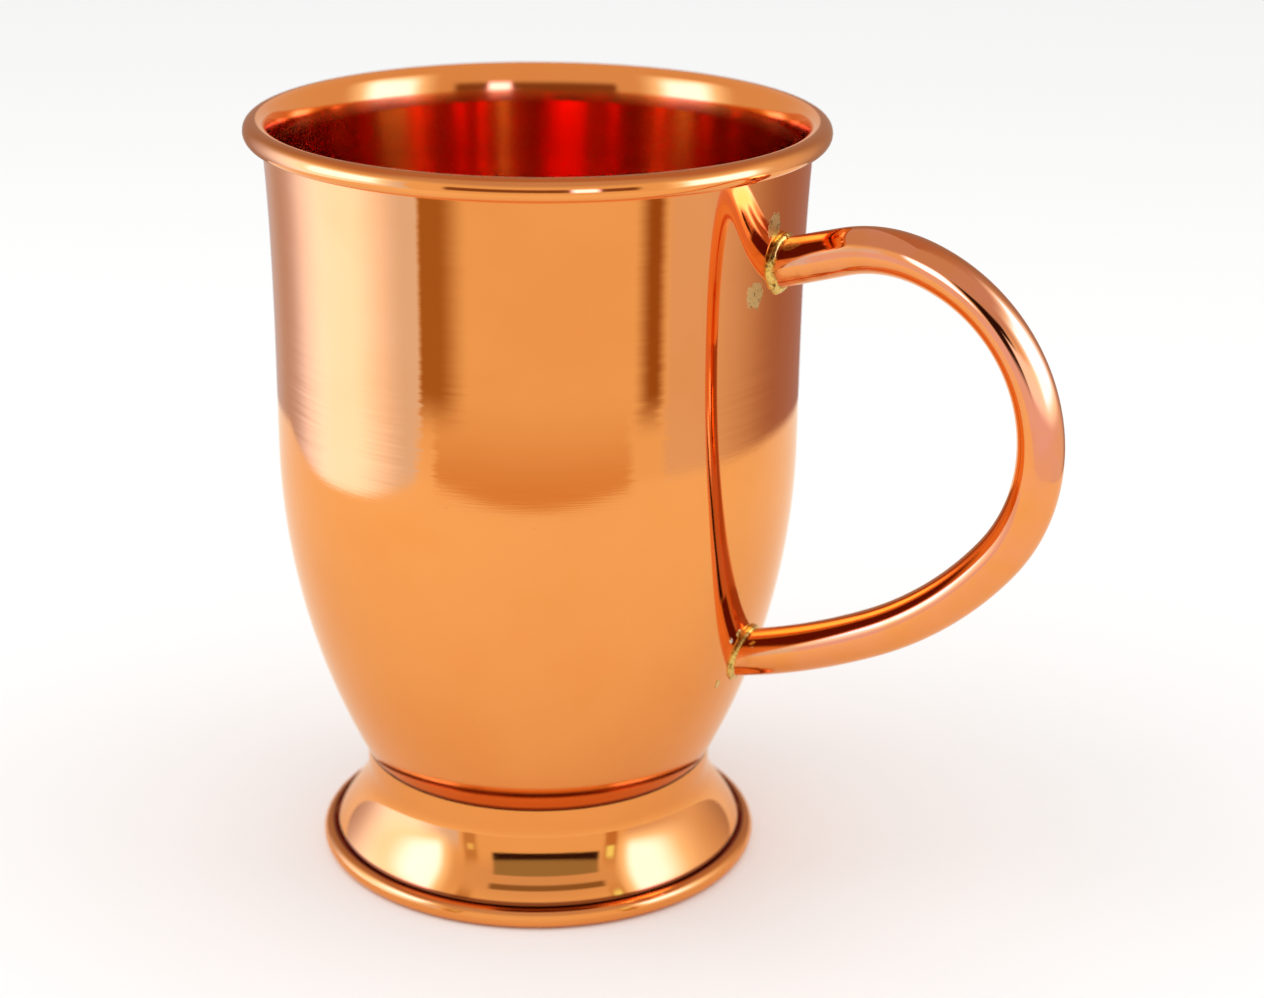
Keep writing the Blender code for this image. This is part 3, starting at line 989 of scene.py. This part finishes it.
def seen_from(tree, start):
    """How far the place a ray left is inside each named part of the mug, from 0 to 1."""
    x, y, z = tree.split(start)
    out = tree.hypot(x, y)
    lip_end = LIP_CENTRE[1]

    # In height: over the foot, under the rim's bead and, inside the cup, under its lip
    above_foot = tree.ramp(z, NECK_TOP + 0.2, NECK_TOP + 0.6)
    under_rim = tree.ramp(z, BEAD_BOTTOM, BEAD_BOTTOM - 0.4)
    under_lip = tree.ramp(z, lip_end + 0.2, lip_end - 0.2)

    # In radius: the handle, the cup within it, the wall's outside and the inside
    handle = tree.ramp(out, RIM_RADIUS + 1.5, RIM_RADIUS + 3.5)
    cup = tree.less(1.0, handle)
    outside = tree.ramp(out, WALL_RADIUS - 0.6, WALL_RADIUS - 0.3)
    inner = tree.ramp(out, WALL_RADIUS - 0.1, WALL_RADIUS - 0.15)

    # The cup's outside at any height, belly and all
    drop = tree.calc("MAXIMUM", tree.less(WALL_START, z), 0.0)
    half_chord = tree.calc("SQRT", tree.less(BELLY_RADIUS**2, tree.product(drop, drop)))
    stands_out = tree.less(tree.less(out, half_chord), BELLY_CENTRE[0])
    skin = tree.ramp(stands_out, -0.6, -0.3)

    foot = tree.product(cup, tree.less(1.0, above_foot))
    wall = tree.product(cup, above_foot, under_rim, outside)
    on_bead = tree.product(cup, tree.less(1.0, under_rim))
    on_lip = tree.product(inner, tree.less(1.0, under_lip))
    rim = tree.calc("MAXIMUM", on_bead, on_lip)
    by_joint = tree.product(tree.ramp(out, 43, 44), tree.ramp(out, 62, 58))
    return {
        "mug": 1.0,
        "handle": handle,
        "joint": tree.product(by_joint, tree.ramp(z, 95, 100), under_rim),
        "foot": foot,
        "skirt": tree.product(foot, tree.ramp(z, 6.9, 7.1)),
        "line": tree.product(foot, tree.ramp(z, 5.0, 5.2), tree.ramp(z, 6.0, 5.7)),
        "beside": tree.product(cup, above_foot, under_rim, skin),
        "wall": wall,
        "upper": tree.product(wall, tree.ramp(z, WALL_START + 11, WALL_START + 19)),
        "worn": tree.product(wall, tree.ramp(z, WALL_START + 24, WALL_START + 12)),
        "edge": tree.product(wall, tree.ramp(z, WALL_START + 20, WALL_START)),
        "rim": rim,
        "lip": tree.product(rim, tree.ramp(out, BEAD_CENTRE[0], BEAD_CENTRE[0] - 0.4)),
        "inside": tree.product(
            inner, tree.ramp(z, WALL_START + 10, WALL_START + 15), under_lip
        ),
    }


def studio_material():
    material = bpy.data.materials.new("studio")
    material.cycles.emission_sampling = "NONE"
    tree = Tree(material)
    surface = tree.add("NewGeometry", {}).outputs
    ray = tree.add("LightPath", {}).outputs
    facing = tree.add(
        "VectorRotate",
        {"Vector": surface["Incoming"], "Angle": -(CAMERA_AZIMUTH + math.pi / 2)},
        rotation_type="Z_AXIS",
    ).outputs[0]
    x, y, z = tree.split(facing)
    side = tree.calc("DEGREES", tree.calc("ARCTAN2", tree.product(x, -1.0), y))
    height = tree.calc("DEGREES", tree.calc("ARCSINE", tree.product(z, -1.0)))
    start = ray_start(tree, surface, ray["Ray Length"])
    parts = seen_from(tree, start)
    wander = tree.less(turned_grain(tree, start, 1.5), 0.5)
    amount = tree.plus(WANDER, parts["worn"], LOW_WANDER)
    side = tree.calc("ADD", side, tree.product(wander, parts["wall"], amount))
    turned_away = tree.calc("ABSOLUTE", side)
    low = tree.mix(tree.ramp(turned_away, 95, 150), FRONT_GLOW, BACK_GLOW)
    high = tree.mix(tree.ramp(turned_away, 60, 120), CEILING_GLOW, BACK_CEILING)
    glow = tree.mix(tree.ramp(height, 25, 55), low, high)
    for part, sides, heights, colour in CARDS:
        share = tree.product(
            parts[part], tree.window(side, sides), tree.window(height, heights)
        )
        glow = tree.mix(share, glow, colour)
    light = tree.add("Emission", {"Color": glow})
    tree.add("OutputMaterial", {"Surface": light.outputs[0]})
    return material


def make_studio():
    """A dome round the whole stage that only the polished metal sees."""
    bm = bmesh.new()
    bmesh.ops.create_icosphere(
        bm, subdivisions=4, radius=DOME, matrix=Matrix.Translation(AXIS)
    )
    mesh = bpy.data.meshes.new("studio")
    bm.to_mesh(mesh)
    bm.free()
    mesh.materials.append(studio_material())
    dome = bpy.data.objects.new("studio", mesh)
    dome.visible_camera = False
    dome.visible_diffuse = False
    dome.visible_shadow = False
    dome.visible_transmission = False
    bpy.context.scene.collection.objects.link(dome)


def floor_material():
    material = bpy.data.materials.new("pale_floor")
    tree = Tree(material)
    place = tree.place()
    ray = tree.add("LightPath", {}).outputs
    tint = tree.mix(ray["Is Glossy Ray"], (0.93, 0.93, 0.925), (0.90, 0.81, 0.68))
    matt = tree.add("BsdfDiffuse", {"Color": tint})
    gone = tree.add("BsdfTransparent", {})
    away = -towards_camera()
    right = Vector((away.y, -away.x, 0))
    near = 1.0
    for reach, back, side in TABLE_EDGES:
        distance = tree.away_from(place, away * back + right * side)
        near = tree.product(near, tree.ramp(distance, reach + 1, reach - 1))
    unseen = tree.product(tree.less(1.0, near), ray["Is Glossy Ray"])
    both = tree.add("MixShader", {0: unseen, 1: matt.outputs[0], 2: gone.outputs[0]})
    tree.add("OutputMaterial", {"Surface": both.outputs[0]})
    return material


def make_floor():
    sides = ((-1, -1), (1, -1), (1, 1), (-1, 1))
    corners = [(x * FLOOR_REACH, y * FLOOR_REACH, foot_low.z) for x, y in sides]
    mesh = bpy.data.meshes.new("floor")
    mesh.from_pydata(corners, [], [(0, 1, 2, 3)])
    mesh.materials.append(floor_material())
    floor = bpy.data.objects.new("floor", mesh)
    bpy.context.scene.collection.objects.link(floor)


def make_lamp(name, azimuth, power):
    """A big soft lamp over the table, which the metal itself doesn't reflect."""
    light = bpy.data.lights.new(name, "AREA")
    light.shape = "DISK"
    light.size = LAMP_SIZE
    light.energy = power
    turn = CAMERA_AZIMUTH + math.radians(azimuth)
    place = in_frame((LAMP_REACH * math.cos(turn), LAMP_REACH * math.sin(turn), LAMP_HEIGHT))
    facing = (place - in_frame((0, 0, LAMP_AIM))).to_track_quat("Z", "Y")
    stand = bpy.data.objects.new(name, light)
    stand.matrix_world = Matrix.Translation(place) @ facing.to_matrix().to_4x4()
    stand.visible_glossy = False
    bpy.context.scene.collection.objects.link(stand)


def set_up_view():
    scene = bpy.context.scene
    scene.view_settings.view_transform = "Standard"
    scene.cycles.max_bounces = 20
    scene.cycles.glossy_bounces = 14
    scene.cycles.sample_clamp_indirect = 6.0


# Putting it together

centre_line = handle_line()
upper_crossing = wall_crossing(centre_line)
lower_crossing = wall_crossing(centre_line[::-1])
UPPER_JOINT = upper_crossing[0][0]
LOWER_JOINT = lower_crossing[0][0]

make_cup(cup_copper())
make_foot(foot_copper())
make_handle(tube_copper())
brass = braze_brass("brass_braze", BRASS, 0.7, 0.16)
gold = braze_brass("pale_braze", FLUX, 0.1, 0.22)
silver = braze_brass("silver_solder", SILVER, 0.2, 0.15)
make_collar("upper_collar", upper_crossing, UPPER_LEGS, 2.0, brass, "upper_braze")
make_collar("lower_collar", lower_crossing, LOWER_LEGS, 5.0, brass, "lower_braze")
make_foot_seam(brass)
for name, angle, height, size, material in SPATTER:
    place, normal = on_cup(math.radians(angle), height)
    make_blob(name, place, normal, size, height, {"gold": gold, "silver": silver}[material])

make_camera()
make_world()
make_studio()
make_floor()
make_lamp("left_lamp", -80, 0.9)
make_lamp("right_lamp", 80, 0.55)
set_up_view()
